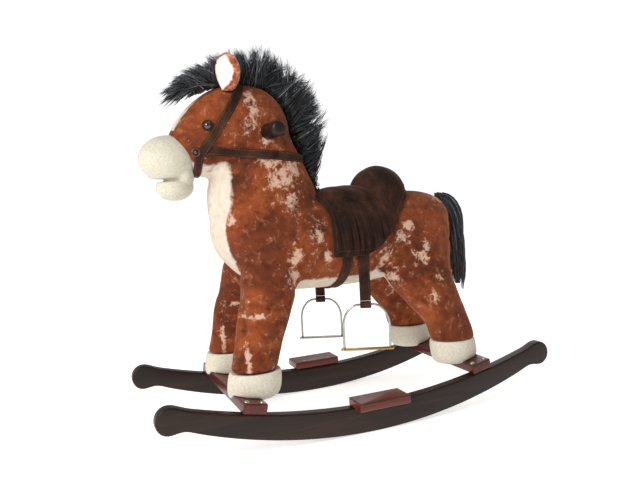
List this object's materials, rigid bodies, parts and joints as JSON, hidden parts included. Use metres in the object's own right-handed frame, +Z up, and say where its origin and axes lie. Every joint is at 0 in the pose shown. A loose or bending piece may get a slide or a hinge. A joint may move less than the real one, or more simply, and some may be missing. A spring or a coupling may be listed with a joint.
{
  "type": "plush rocking horse",
  "caption": "Stuffed rocking horse with saddle, stirrups and a handle bar, on two bowed wooden rockers with footrests; its jaw and tail move.",
  "frame": {"origin": "on the floor, under the middle of the rockers", "axes": "+X towards the horse's left side, +Y towards its tail, +Z up"},
  "size_m": [0.336, 0.74, 0.6527],
  "materials": {
    "dark_wood": "satin lacquered espresso brown",
    "red_wood": "gloss lacquered mahogany",
    "frame_wood": "raw sanded",
    "handle_wood": "gloss lacquered dark mahogany",
    "screw_steel": "bright zinc plated",
    "brown_plush": "short pile, mottled chestnut",
    "cream_plush": "short pile, cream",
    "black_fur": "long pile, black",
    "saddle_suede": "brushed suede cloth",
    "strap_suede": "brushed suede webbing",
    "stirrup_steel": "satin wire",
    "eye_gloss": "glossy",
    "black_plastic": "moulded"
  },
  "bodies": {
    "horse": {"rocker_left": "dark_wood", "footrest_left": "red_wood", "rocker_right": "dark_wood", "footrest_right": "red_wood", "front_crossbar": "red_wood", "rear_crossbar": "red_wood", "crossbar_screw_front_left_1": "screw_steel", "crossbar_screw_front_left_2": "screw_steel", "crossbar_screw_front_right_1": "screw_steel", "crossbar_screw_front_right_2": "screw_steel", "crossbar_screw_rear_left_1": "screw_steel", "crossbar_screw_rear_left_2": "screw_steel", "crossbar_screw_rear_right_1": "screw_steel", "crossbar_screw_rear_right_2": "screw_steel", "footrest_screw_left_1": "screw_steel", "footrest_screw_left_2": "screw_steel", "footrest_screw_right_1": "screw_steel", "footrest_screw_right_2": "screw_steel", "spine_board": "frame_wood", "neck_post": "frame_wood", "handle_bar": "handle_wood", "leg_post_front_left": "frame_wood", "leg_bolt_front_left": "screw_steel", "leg_front_left": "brown_plush", "hoof_front_left": "cream_plush", "leg_post_front_right": "frame_wood", "leg_bolt_front_right": "screw_steel", "leg_front_right": "brown_plush", "hoof_front_right": "cream_plush", "leg_post_rear_left": "frame_wood", "leg_bolt_rear_left": "screw_steel", "leg_rear_left": "brown_plush", "hoof_rear_left": "cream_plush", "leg_post_rear_right": "frame_wood", "leg_bolt_rear_right": "screw_steel", "leg_rear_right": "brown_plush", "hoof_rear_right": "cream_plush", "sound_box": "black_plastic", "jaw_drive": "black_plastic", "tail_drive": "black_plastic", "body_plush": "brown_plush", "head_plush": "brown_plush", "muzzle": "cream_plush", "ear_left": "brown_plush", "eye_left": "eye_gloss", "ear_right": "brown_plush", "eye_right": "eye_gloss", "ear_switch": "black_plastic", "bridle": "strap_suede", "reins": "strap_suede", "mane": "black_fur", "saddle": "saddle_suede", "girth_strap": "strap_suede"},
    "jaw": {"lower_jaw": "cream_plush"},
    "tail": {"tail": "black_fur"},
    "strap_left": {"stirrup_strap_left": "strap_suede"},
    "strap_right": {"stirrup_strap_right": "strap_suede"},
    "stirrup_left": {"stirrup_left": "stirrup_steel"},
    "stirrup_right": {"stirrup_right": "stirrup_steel"},
    "button": {"ear_button": "black_plastic"}
  },
  "joints": [
    {"name": "jaw_hinge", "type": "hinge", "parent": "horse", "child": "jaw", "pos_m": [0, -0.262, 0.441], "axis": [1, 0, 0], "range_deg": [-3, 14]},
    {"name": "tail_wag", "type": "hinge", "parent": "horse", "child": "tail", "pos_m": [0, 0.232, 0.388], "axis": [0, 1, 0], "range_deg": [-25, 25]},
    {"name": "strap_left_swing", "type": "hinge", "parent": "horse", "child": "strap_left", "pos_m": [0.1, 0.004, 0.293], "axis": [1, 0, 0], "range_deg": [-20, 20]},
    {"name": "strap_right_swing", "type": "hinge", "parent": "horse", "child": "strap_right", "pos_m": [-0.1, 0.004, 0.293], "axis": [1, 0, 0], "range_deg": [-20, 20]},
    {"name": "stirrup_left_tilt", "type": "hinge", "parent": "strap_left", "child": "stirrup_left", "pos_m": [0.1, 0.004, 0.21], "axis": [0.4226, 0.9063, 0], "range_deg": [-25, 25]},
    {"name": "stirrup_right_tilt", "type": "hinge", "parent": "strap_right", "child": "stirrup_right", "pos_m": [-0.1, 0.004, 0.191], "axis": [0.4226, 0.9063, 0], "range_deg": [-25, 25]},
    {"name": "ear_button_press", "type": "slide", "parent": "horse", "child": "button", "axis": [0.3763, -0.9164, -0.1361], "range_m": [0, 0.0015], "stiffness_N_per_m": 900, "springref_m": -0.0005}
  ]
}
